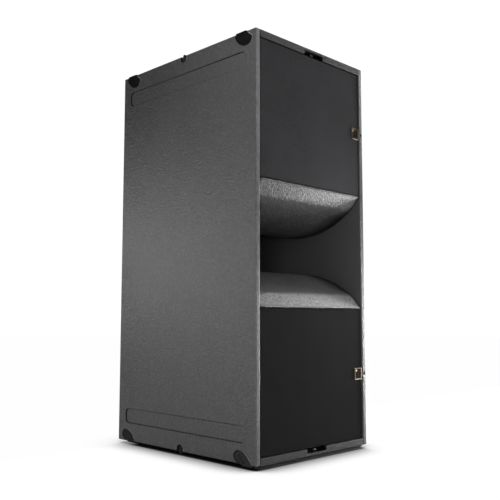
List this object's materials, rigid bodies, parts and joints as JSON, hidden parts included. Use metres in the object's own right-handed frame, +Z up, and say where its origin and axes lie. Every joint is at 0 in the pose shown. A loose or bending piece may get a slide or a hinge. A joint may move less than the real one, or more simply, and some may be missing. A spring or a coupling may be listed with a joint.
{
  "type": "line array subwoofer",
  "caption": "Tall double-driver line array subwoofer cabinet with cloth grilles, a central flared vent, recessed handles and captive rigging arms.",
  "frame": {"origin": "centre of the whole footprint on the floor, the cabinet standing on its short end", "axes": "+Z up along the cabinet's long side, grilles and vent face -Y, stacking grooves on -X, runners on +X"},
  "size_m": [0.553, 0.7, 1.364],
  "materials": {
    "textured_paint": "textured satin paint on plywood",
    "birch_ply": "bare birch plywood",
    "grille_steel": "black powder coat",
    "acoustic_cloth": "black acoustic fabric",
    "badge_metal": "light gold anodised",
    "cast_alloy": "dark cast aluminium",
    "surround_cloth": "doped cloth",
    "cone_paper": "black pressed paper",
    "coil_copper": "copper winding",
    "spider_cloth": "impregnated cloth",
    "motor_steel": "zinc plated",
    "ferrite": "ground ferrite",
    "cable": "black jacket",
    "runner_plastic": "black low-friction plastic",
    "black_plastic": "fine texture",
    "rigging_steel": "black powder coat",
    "rail_alloy": "black coated extruded alloy",
    "arm_steel": "black coated steel",
    "pin_steel": "zinc plated"
  },
  "bodies": {
    "cabinet": {"side_panel_left": "textured_paint", "side_panel_right": "textured_paint", "end_panel_top": "textured_paint", "end_panel_bottom": "textured_paint", "rear_panel": "textured_paint", "vent_lip_upper": "textured_paint", "vent_lip_lower": "textured_paint", "baffle_upper": "birch_ply", "brace_shelf_upper": "birch_ply", "grille_plate_upper": "grille_steel", "grille_cloth_upper": "acoustic_cloth", "grille_badge_upper": "badge_metal", "driver_basket_upper": "cast_alloy", "driver_surround_upper": "surround_cloth", "driver_spider_upper": "spider_cloth", "driver_top_plate_upper": "motor_steel", "driver_t_yoke_upper": "motor_steel", "driver_magnet_upper": "ferrite", "driver_lead_upper": "cable", "baffle_lower": "birch_ply", "brace_shelf_lower": "birch_ply", "grille_plate_lower": "grille_steel", "grille_cloth_lower": "acoustic_cloth", "grille_badge_lower": "badge_metal", "driver_basket_lower": "cast_alloy", "driver_surround_lower": "surround_cloth", "driver_spider_lower": "spider_cloth", "driver_top_plate_lower": "motor_steel", "driver_t_yoke_lower": "motor_steel", "driver_magnet_lower": "ferrite", "driver_lead_lower": "cable", "stacking_runner_bottom": "runner_plastic", "grille_catch_bottom": "black_plastic", "centre_guide_bottom": "rigging_steel", "handle_dish_bottom": "black_plastic", "rigging_rail_bottom_front": "rail_alloy", "rigging_rail_bottom_rear": "rail_alloy", "stacking_runner_top": "runner_plastic", "grille_catch_top": "black_plastic", "centre_guide_top": "rigging_steel", "handle_dish_top": "black_plastic", "rigging_rail_top_front": "rail_alloy", "rigging_rail_top_rear": "rail_alloy", "connector_plate": "rigging_steel", "socket_in": "black_plastic", "socket_link": "black_plastic"},
    "driver_upper_moving": {"driver_cone_upper": "cone_paper", "driver_dust_cap_upper": "cone_paper", "driver_voice_coil_upper": "coil_copper"},
    "driver_lower_moving": {"driver_cone_lower": "cone_paper", "driver_dust_cap_lower": "cone_paper", "driver_voice_coil_lower": "coil_copper"},
    "arm_bottom_front": {"link_arm_bottom_front": "arm_steel"},
    "pin_bottom_front": {"pull_pin_bottom_front": "pin_steel"},
    "arm_bottom_rear": {"link_arm_bottom_rear": "arm_steel"},
    "pin_bottom_rear": {"pull_pin_bottom_rear": "pin_steel"},
    "arm_top_front": {"link_arm_top_front": "arm_steel"},
    "pin_top_front": {"pull_pin_top_front": "pin_steel"},
    "arm_top_rear": {"link_arm_top_rear": "arm_steel"},
    "pin_top_rear": {"pull_pin_top_rear": "pin_steel"}
  },
  "joints": [
    {"name": "driver_upper_travel", "type": "slide", "parent": "cabinet", "child": "driver_upper_moving", "axis": [0, -1, 0], "range_m": [-0.012, 0.012], "stiffness_N_per_m": 7000, "deforming": ["driver_surround_upper", "driver_spider_upper"]},
    {"name": "driver_lower_travel", "type": "slide", "parent": "cabinet", "child": "driver_lower_moving", "axis": [0, -1, 0], "range_m": [-0.012, 0.012], "stiffness_N_per_m": 7000, "deforming": ["driver_surround_lower", "driver_spider_lower"]},
    {"name": "link_arm_bottom_front_slide", "type": "slide", "parent": "cabinet", "child": "arm_bottom_front", "axis": [-1, 0, 0], "range_m": [0, 0.075]},
    {"name": "pull_pin_bottom_front_pull", "type": "slide", "parent": "cabinet", "child": "pin_bottom_front", "axis": [0, 0.7071, -0.7071], "range_m": [0, 0.013]},
    {"name": "link_arm_bottom_rear_slide", "type": "slide", "parent": "cabinet", "child": "arm_bottom_rear", "axis": [-1, 0, 0], "range_m": [0, 0.075]},
    {"name": "pull_pin_bottom_rear_pull", "type": "slide", "parent": "cabinet", "child": "pin_bottom_rear", "axis": [0, 0.7071, -0.7071], "range_m": [0, 0.013]},
    {"name": "link_arm_top_front_slide", "type": "slide", "parent": "cabinet", "child": "arm_top_front", "axis": [-1, 0, 0], "range_m": [0, 0.075]},
    {"name": "pull_pin_top_front_pull", "type": "slide", "parent": "cabinet", "child": "pin_top_front", "axis": [0, -0.7071, 0.7071], "range_m": [0, 0.013]},
    {"name": "link_arm_top_rear_slide", "type": "slide", "parent": "cabinet", "child": "arm_top_rear", "axis": [-1, 0, 0], "range_m": [0, 0.075]},
    {"name": "pull_pin_top_rear_pull", "type": "slide", "parent": "cabinet", "child": "pin_top_rear", "axis": [0, -0.7071, 0.7071], "range_m": [0, 0.013]}
  ]
}
